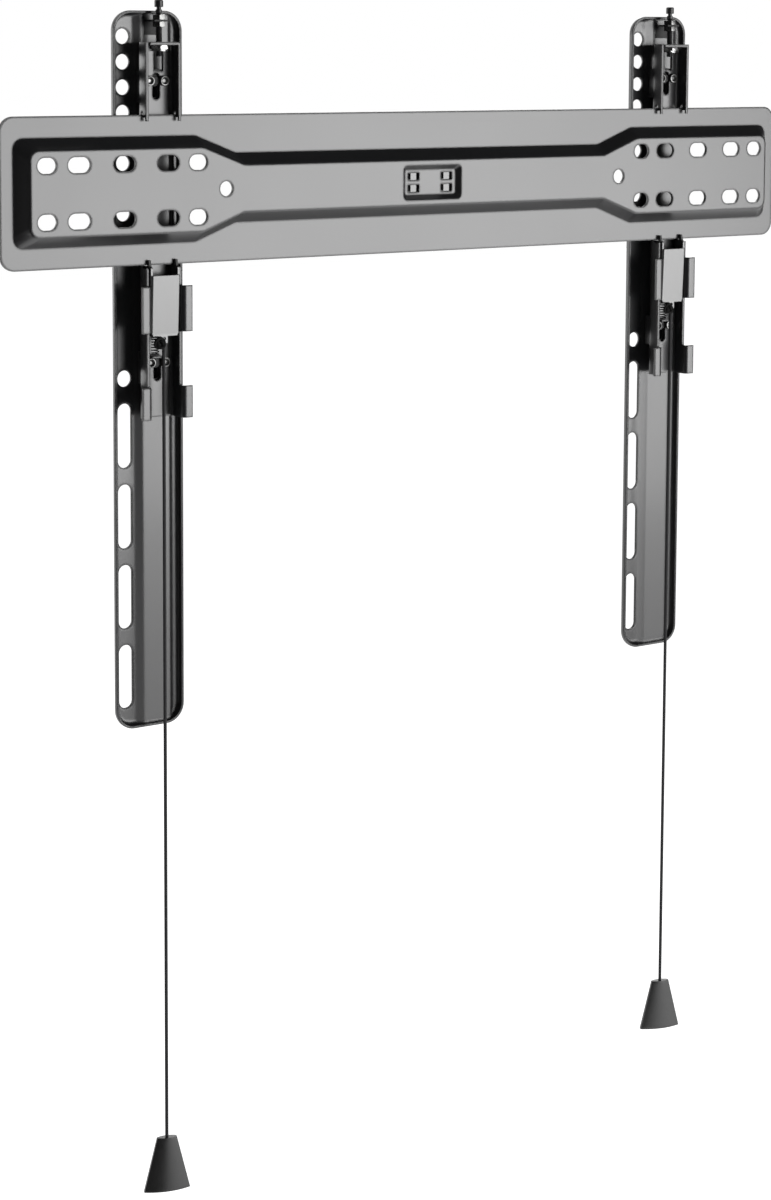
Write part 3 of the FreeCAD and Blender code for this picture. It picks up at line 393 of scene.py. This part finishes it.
dress("wall_plate", COAT)
dress("level_housing", GLOSS_PLASTIC)
dress("level_vial", VIAL)
dress("level_liquid", LIQUID)
for side in SIDES:
    dress(side + "_arm", DRAWN_COAT)
    dress(side + "_carriage", FOLDED_COAT)
    dress(side + "_latch", LATCH_COAT_PAINTED_PALER)
    for word in ("glide_shoe_upper", "glide_shoe_lower"):
        dress(side + "_" + word, PLASTIC)
    dress(side + "_cord_pull", PULL_PLASTIC)
    for word in ("guide_stud_upper", "guide_stud_lower", "latch_pin", "screw_bracket",
                 "latch_spring"):
        dress(side + "_" + word, PHOSPHATED)
    for word in ("height_screw", "shoe_screws"):
        dress(side + "_" + word, BLACKENED)
    dress(side + "_bracket_nuts", DARK_ZINC)
    dress(side + "_press_nut", ZINC)
print(len(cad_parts), "nodes dressed")

# %% [markdown]
# A piece starts as a bmesh, is shaped with operators, and becomes an object whose place is
# in its mesh. This helper ends each of them: it sets the shading, gives the finish, rides
# the piece on its body and, where it stands for a CAD node, hides that node.

# %% Keep a finished piece
def keep(name, shape, material, body, node=None, angle=35.0):
    """Makes a finished bmesh an object of the dressed part."""
    mesh = bpy.data.meshes.new(name)
    shape.normal_update()
    shape.to_mesh(mesh)
    shape.free()
    piece = bpy.data.objects.new(name, mesh)
    bpy.context.scene.collection.objects.link(piece)
    mesh.materials.append(material)
    mesh.polygons.foreach_set("use_smooth", [True] * len(mesh.polygons))
    mesh.set_sharp_from_angle(angle=math.radians(angle))
    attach(piece, body)
    if node:
        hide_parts(node)
    print(name, len(mesh.polygons), "faces")
    return piece


# %% [markdown]
# The height screw is an M4 screw. A thread is a V-shaped profile swept along a helix, which
# the spin operator does when it is given a small step along the axis for each turn. The
# runs beyond the ends are cut off flat with bisect_plane.

# %% Thread
PITCH = 0.0007
THREAD_STEPS = 20
THREAD_DEPTH = 0.61 * PITCH


def threaded_rod(shape, radius, low, high, centre):
    """A spun thread between two heights, closed at both ends."""
    turns = int(math.ceil((high - low) / PITCH)) + 1
    points = ((radius - THREAD_DEPTH, 0.0), (radius, PITCH * 0.44), (radius, PITCH * 0.56),
              (radius - THREAD_DEPTH, PITCH))
    start = low - PITCH
    line = [shape.verts.new((centre[0] + x, centre[1], start + z)) for x, z in points]
    edges = [shape.edges.new(pair) for pair in zip(line, line[1:])]
    bmesh.ops.spin(shape, geom=line + edges, cent=(centre[0], centre[1], 0), axis=(0, 0, 1),
                   dvec=(0, 0, PITCH / THREAD_STEPS), angle=2 * math.pi * turns,
                   steps=THREAD_STEPS * turns, use_merge=False)
    bmesh.ops.remove_doubles(shape, verts=shape.verts[:], dist=1e-6)
    for height, normal in ((low, (0, 0, -1)), (high, (0, 0, 1))):
        geom = shape.verts[:] + shape.edges[:] + shape.faces[:]
        cut = bmesh.ops.bisect_plane(shape, geom=geom, plane_co=(0, 0, height), plane_no=normal,
                                     clear_outer=True)
        ring = [item for item in cut["geom_cut"] if isinstance(item, bmesh.types.BMEdge)]
        bmesh.ops.contextual_create(shape, geom=ring)


print("thread", PITCH, "m a turn and", round(THREAD_DEPTH, 6), "m deep")

# %% [markdown]
# The screw's head is a turned form, and so are nuts and washers. One helper spins an outline
# about an upright axis. The head is low, with a socket, above a neck that sits in the
# bracket on the arm.

# %% Height screws
SHOULDER = 0.1078
THREAD_RADIUS = 0.00199
THREAD_LEAD = 0.0003
NECK_RADIUS, NECK_TOP = 0.0014, SHOULDER + 0.0013
HEAD_RADIUS = 0.00265
SOCKET_RADIUS, SOCKET_DEPTH = 0.00125, 0.0022


def lathe(shape, outline, centre, steps=28):
    """Turns an outline of radius and height pairs about an upright axis."""
    line = [shape.verts.new((centre[0] + r, centre[1], z)) for r, z in outline]
    edges = [shape.edges.new(pair) for pair in zip(line, line[1:])]
    bmesh.ops.spin(shape, geom=line + edges, cent=(centre[0], centre[1], 0), axis=(0, 0, 1),
                   dvec=(0, 0, 0), angle=2 * math.pi, steps=steps, use_merge=True)
    bmesh.ops.remove_doubles(shape, verts=shape.verts[:], dist=1e-7)
    bmesh.ops.recalc_face_normals(shape, faces=shape.faces[:])


def axis_of(node):
    """The x and y of the upright axis through the middle of a node."""
    low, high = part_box(node)
    return ((low[0] + high[0]) / 2, (low[1] + high[1]) / 2)


for side in SIDES:
    node = side + "_height_screw"
    centre = axis_of(node)
    low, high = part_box(node)
    top = high[2]
    shape = bmesh.new()
    threaded_rod(shape, THREAD_RADIUS, low[2] + THREAD_LEAD, SHOULDER - 0.002, centre)
    bmesh.ops.recalc_face_normals(shape, faces=shape.faces[:])
    keep(side + "_screw_thread", shape, BLACKENED, side + "_height_drive",
         node, angle=25.0)
    shape = bmesh.new()
    lathe(shape, ((0.0, SHOULDER - 0.0024), (0.0017, SHOULDER - 0.0024),
                  (0.00195, SHOULDER - 0.0019), (0.00195, SHOULDER - 0.0002),
                  (NECK_RADIUS, SHOULDER), (NECK_RADIUS, NECK_TOP), (0.0024, NECK_TOP),
                  (HEAD_RADIUS, SHOULDER + 0.0016), (HEAD_RADIUS, top - 0.0006),
                  (0.0021, top), (SOCKET_RADIUS, top), (SOCKET_RADIUS, top - SOCKET_DEPTH),
                  (0.0, top - 0.0024)), centre)
    keep(side + "_screw_head", shape, BLACKENED, side + "_height_drive", node)

# %% [markdown]
# The nuts are hexagonal with chamfered corners. A lathed blank is cut by six upright planes,
# and the edges of each cut are closed by a face. The flats are turned as in the photograph:
# the one that faces the camera mirrors the dark room, and its neighbours mirror the lamps.
# The nut under the carriage's flange is wide, has a thin collar and is cut flat at the back,
# where it lies against the carriage.

# %% Hexagonal nut
def close_cut(shape, place, normal):
    """Cuts off what lies beyond a plane and closes the open edges."""
    geom = shape.verts[:] + shape.edges[:] + shape.faces[:]
    cut = bmesh.ops.bisect_plane(shape, geom=geom, plane_co=place, plane_no=normal,
                                 clear_outer=True)
    ring = [item for item in cut["geom_cut"] if isinstance(item, bmesh.types.BMEdge)]
    bmesh.ops.contextual_create(shape, geom=ring)


def hexagonal_nut(shape, centre, low, high, flats, bore, first_flat):
    """A chamfered nut round an upright axis."""
    blank = bmesh.new()
    corner = flats / math.sqrt(3.0)
    chamfer = (corner - flats / 2) * 0.75
    lathe(blank, ((bore, low), (flats / 2 - 0.0001, low), (corner, low + chamfer),
                  (corner, high - chamfer), (flats / 2 - 0.0001, high), (bore, high),
                  (bore, low)), centre, steps=48)
    for part in range(6):
        turn = math.radians(first_flat + 60 * part)
        normal = Vector((math.sin(turn), -math.cos(turn), 0))
        close_cut(blank, Vector((*centre, 0)) + normal * flats / 2, normal)
    faces = len(blank.faces)
    add_to(shape, blank)
    print("nut of", round(flats * 1000, 1), "mm,", faces, "faces")


def add_to(shape, part):
    """Moves a finished part into a larger shape."""
    mesh = bpy.data.meshes.new("part")
    part.to_mesh(mesh)
    part.free()
    shape.from_mesh(mesh)
    bpy.data.meshes.remove(mesh)


# %% [markdown]
# Two nuts are locked against each other on the arm's bracket and turn with the screw. The
# wide nut is pressed under the carriage's flange and stays with it.

# %% Locked and seated nuts
LOCKED_HEIGHT, LOCKED_BORE, LOCKED_TURN = 0.00323, 0.002, 9.0
SEATED_FLATS, SEATED_BORE, SEATED_TURN = 0.0100, 0.00212, 12.0
COLLAR_RADIUS, COLLAR_HEIGHT = 0.0053, 0.0009
CARRIAGE_FACE = 0.01455

for side in SIDES:
    node = side + "_bracket_nuts"
    centre = axis_of(node)
    low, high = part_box(node)
    flats = high[1] - low[1]
    shape = bmesh.new()
    for bottom in (low[2], high[2] - LOCKED_HEIGHT):
        hexagonal_nut(shape, centre, bottom, bottom + LOCKED_HEIGHT, flats, LOCKED_BORE,
                      LOCKED_TURN)
    keep(side + "_locked_nuts", shape, DARK_ZINC, side + "_height_drive", node)

    node = side + "_press_nut"
    centre = axis_of(node)
    low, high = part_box(node)
    foot = low[2]
    shape = bmesh.new()
    hexagonal_nut(shape, centre, foot + COLLAR_HEIGHT, high[2], SEATED_FLATS, SEATED_BORE,
                  SEATED_TURN)
    collar = bmesh.new()
    lathe(collar, ((SEATED_BORE, foot), (0.0051, foot), (COLLAR_RADIUS, foot + 0.0001),
                   (COLLAR_RADIUS, foot + 0.0004), (0.0051, foot + 0.0005),
                   (0.0035, foot + 0.0005), (0.0035, foot + COLLAR_HEIGHT),
                   (SEATED_BORE, foot + COLLAR_HEIGHT), (SEATED_BORE, foot)), centre, steps=40)
    add_to(shape, collar)
    close_cut(shape, (0, CARRIAGE_FACE, 0), (0, 1, 0))
    keep(side + "_seated_nut", shape, ZINC, side + "_slider", node)

# %% [markdown]
# The shoe screws are pan-head screws with a six-lobe socket. They lie across the carriage, so
# the lathed outline is turned from upright to level. The head is dished, so that a bright ring
# and a bright floor show with a dark slope between them. The socket's lobes come from moving
# its wall in and out around the axis.

# %% Shoe screws
PAN_RADIUS, PAN_HEIGHT = 0.0031, 0.0024
SHANK_RADIUS = 0.00125
LOBES, LOBE_DEPTH = 6.0, 0.11


def lobed_screw(shape, place, reach):
    """A pan-head screw whose head looks towards the wall; reach is the shank's length."""
    blank = bmesh.new()
    lathe(blank, ((0.0, -reach), (0.0009, -reach), (SHANK_RADIUS, -reach + 0.0004),
                  (SHANK_RADIUS, 0.0), (0.0029, 0.0), (PAN_RADIUS, 0.0003),
                  (PAN_RADIUS, 0.0019), (0.0029, 0.0023), (0.0027, PAN_HEIGHT),
                  (0.0023, PAN_HEIGHT), (0.0020, 0.0021), (0.0014, 0.0012),
                  (0.0012, 0.0008), (0.0, 0.0008)), (0.0, 0.0), steps=48)
    for vert in blank.verts:
        radial = math.hypot(vert.co.x, vert.co.y)
        if vert.co.z > 0.0007 and 0.0001 < radial < 0.0015:
            around = math.atan2(vert.co.y, vert.co.x)
            lobe = 1.0 - LOBE_DEPTH * (1.0 - math.cos(LOBES * around))
            vert.co.x *= lobe
            vert.co.y *= lobe
    bmesh.ops.rotate(blank, verts=blank.verts[:], cent=(0, 0, 0),
                     matrix=Matrix.Rotation(math.radians(90), 3, "X"))
    bmesh.ops.translate(blank, verts=blank.verts[:], vec=place)
    add_to(shape, blank)


for side in SIDES:
    node = side + "_shoe_screws"
    low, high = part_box(node)
    seat = low[1] + PAN_HEIGHT
    shape = bmesh.new()
    for x in (low[0] + PAN_RADIUS, high[0] - PAN_RADIUS):
        for z in (low[2] + PAN_RADIUS, high[2] - PAN_RADIUS):
            lobed_screw(shape, (x, seat, z), high[1] - seat)
    keep(side + "_lobed_screws", shape, DARK_ZINC, side + "_slider", node)

# %% [markdown]
# The latch spring and the knot in the cord are both round tubes along a path. A circle is set
# up at each point of the path, square to it, and bridged to the next one. A closed path has
# its last circle bridged to its first, and an open one gets a face at each end.

# %% Tube along a path
TUBE_SIDES = 8


def tube(shape, path, radius, sides=TUBE_SIDES, closed=False):
    """A round tube along a path of points."""
    count = len(path)
    rings = []
    across = Vector((0, 1, 0))
    for index, point in enumerate(path):
        before = path[index - 1] if closed or index else path[0]
        after = path[(index + 1) % count] if closed or index < count - 1 else path[-1]
        along = (after - before).normalized()
        across = (across - along * across.dot(along)).normalized()
        frame_at = Matrix((across, along.cross(across), along)).transposed().to_4x4()
        ring = bmesh.ops.create_circle(shape, cap_ends=False, segments=sides, radius=radius,
                                       matrix=Matrix.Translation(point) @ frame_at)
        rings.append(ring["verts"])
    pairs = list(zip(rings, rings[1:] + rings[:1])) if closed else list(zip(rings, rings[1:]))
    for first, second in pairs:
        edges = {edge for ring in (first, second) for vert in ring for edge in vert.link_edges
                 if edge.other_vert(vert) in ring}
        bmesh.ops.bridge_loops(shape, edges=list(edges))
    if not closed:
        for ring in (rings[0], rings[-1]):
            bmesh.ops.contextual_create(shape, geom=ring)
    bmesh.ops.recalc_face_normals(shape, faces=shape.faces[:])


print("a wire tube has", TUBE_SIDES, "sides")

# %% [markdown]
# The spring is a coil whose first and last turns lie close, as on a real pressure spring. Its
# lower end stays on the carriage's shelf.

# %% Latch springs
WIRE = 0.00035
TURNS, STEPS = 8.0, 18
END_SHARE = 0.06
MIDDLE_SHARE = 0.88

for side in SIDES:
    node = side + "_latch_spring"
    centre = axis_of(node)
    low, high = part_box(node)
    mean = (high[0] - low[0]) / 2 - WIRE
    length = high[2] - low[2] - 2 * WIRE
    path = []
    for part in range(int(TURNS * STEPS) + 1):
        turn = part / STEPS
        first = min(turn, 1.0)
        middle = max(0.0, min(turn, TURNS - 1.0) - 1.0)
        last = max(0.0, turn - TURNS + 1.0)
        share = first * END_SHARE + middle * MIDDLE_SHARE / (TURNS - 2) + last * END_SHARE
        angle = 2 * math.pi * turn
        path.append(Vector((centre[0] + mean * math.cos(angle),
                            centre[1] + mean * math.sin(angle),
                            low[2] + WIRE + length * share)))
    shape = bmesh.new()
    tube(shape, path, WIRE)
    coil = keep(side + "_spring_coil", shape, PHOSPHATED, side + "_slider", node)
    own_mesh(coil)

# %% [markdown]
# The cord is knotted beside its hole in the latch's tongue. A closed curve that winds three
# times round while it swings in and out has the over and under of a real knot, so one tube
# along it makes the whole lump.

# %% Cord knots
KNOT_ASIDE, KNOT_FORWARD, KNOT_ABOVE = 0.0036, 0.0018, 0.0005
KNOT_WIDE, KNOT_DEEP, KNOT_HIGH = 0.00105, 0.0012, 0.00115
KNOT_POINTS = 96
STRAND = 0.0009

for side in SIDES:
    x, y = axis_of(side + "_cord")
    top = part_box(side + "_cord")[1][2]
    path = []
    for part in range(KNOT_POINTS):
        turn = 2 * math.pi * part / KNOT_POINTS
        swing = 2.0 + math.cos(2 * turn)
        path.append(Vector((x - KNOT_ASIDE + KNOT_WIDE * swing * math.cos(3 * turn),
                            y - KNOT_FORWARD + KNOT_DEEP * math.sin(4 * turn),
                            top + KNOT_ABOVE + KNOT_HIGH * swing * math.sin(3 * turn))))
    shape = bmesh.new()
    tube(shape, path, STRAND, sides=10, closed=True)
    keep(side + "_cord_knot", shape, KNOT, side + "_lock")

# %% [markdown]
# The cord pull is a wedge with a crowned front, soft edges and a small collar round the
# cord's hole. A subdivided block is tapered and bent by a formula, and its long edges are
# bevelled. Both pulls are turned towards the camera as far as the wall behind them allows.

# %% Cord pulls
PULL_TURN = -15.0
PULL_CUTS = 15
TOP_HALF_WIDTH, BASE_HALF_WIDTH = 0.00625, 0.0147
EDGE_AT_TOP, EDGE_GAIN = 0.0009, 0.0002
CROWN_AT_TOP, CROWN_GAIN = 0.0015, 0.0015
PULL_ROUND = 0.0005

for side in SIDES:
    node = side + "_cord_pull"
    low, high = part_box(node)
    x, y = axis_of(side + "_cord")
    height = high[2] - low[2]
    shape = bmesh.new()
    bmesh.ops.create_cube(shape, size=1.0)
    bmesh.ops.subdivide_edges(shape, edges=shape.edges[:], cuts=PULL_CUTS, use_grid_fill=True)
    for vert in shape.verts:
        across, deep, down = vert.co.x * 2, vert.co.y * 2, 0.5 - vert.co.z
        crown = 1.0 - across * across
        half_width = TOP_HALF_WIDTH + (BASE_HALF_WIDTH - TOP_HALF_WIDTH) * down
        half_depth = EDGE_AT_TOP + EDGE_GAIN * down
        bulge = (CROWN_AT_TOP + CROWN_GAIN * down) * crown
        vert.co = (across * half_width, deep * (half_depth + bulge), -height * down)
    corners = [edge for edge in shape.edges
               if len(edge.link_faces) == 2 and edge.calc_face_angle() > math.radians(50)]
    bmesh.ops.bevel(shape, geom=corners, offset=PULL_ROUND, segments=3, profile=0.5,
                    affect="EDGES", clamp_overlap=True, material=-1)
    collar = bmesh.new()
    lathe(collar, ((0.0011, -0.0012), (0.0011, -0.0001), (0.0012, 0.0), (0.0014, -0.0001),
                   (0.0015, -0.0004), (0.0015, -0.0012), (0.0011, -0.0012)), (0.0, 0.0))
    add_to(shape, collar)
    bmesh.ops.rotate(shape, verts=shape.verts[:], cent=(0, 0, 0),
                     matrix=Matrix.Rotation(math.radians(PULL_TURN), 3, "Z"))
    bmesh.ops.translate(shape, verts=shape.verts[:], vec=(x, y, high[2]))
    keep(side + "_soft_pull", shape, PULL_PLASTIC, side + "_lock",
         node, angle=60.0)

# %% [markdown]
# The release cord hangs straight, drawn down by its pull. It is a NURBS curve with a round
# bevel through the same two ends as in the CAD, and a few points between them. The exit is
# the face under the latch's tongue.

# %% Release cords
CORD_RADIUS = 0.00105
ROUTE_PARTS = 7

for side in SIDES:
    node = side + "_cord"
    x, y = axis_of(node)
    low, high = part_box(node)
    length = high[2] - low[2]
    curve = bpy.data.curves.new(side + "_release_cord", "CURVE")
    curve.dimensions = "3D"
    curve.bevel_depth = CORD_RADIUS
    curve.bevel_resolution = 3
    curve.use_fill_caps = True
    line = curve.splines.new("NURBS")
    route = [(x, y, high[2] - length * part / ROUTE_PARTS) for part in range(ROUTE_PARTS + 1)]
    line.points.add(len(route) - 1)
    for point, where in zip(line.points, route):
        point.co = (*where, 1.0)
    line.order_u = 3
    line.use_endpoint_u = True
    curve.materials.append(CORD)
    cord = bpy.data.objects.new(side + "_release_cord", curve)
    bpy.context.scene.collection.objects.link(cord)
    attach(cord, side + "_lock")
    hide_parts(node)
    print(node, round(length, 4), "m")

# %% [markdown]
# The last cell brings the scene's placements up to date.

# %% Up to date
bpy.context.view_layer.update()
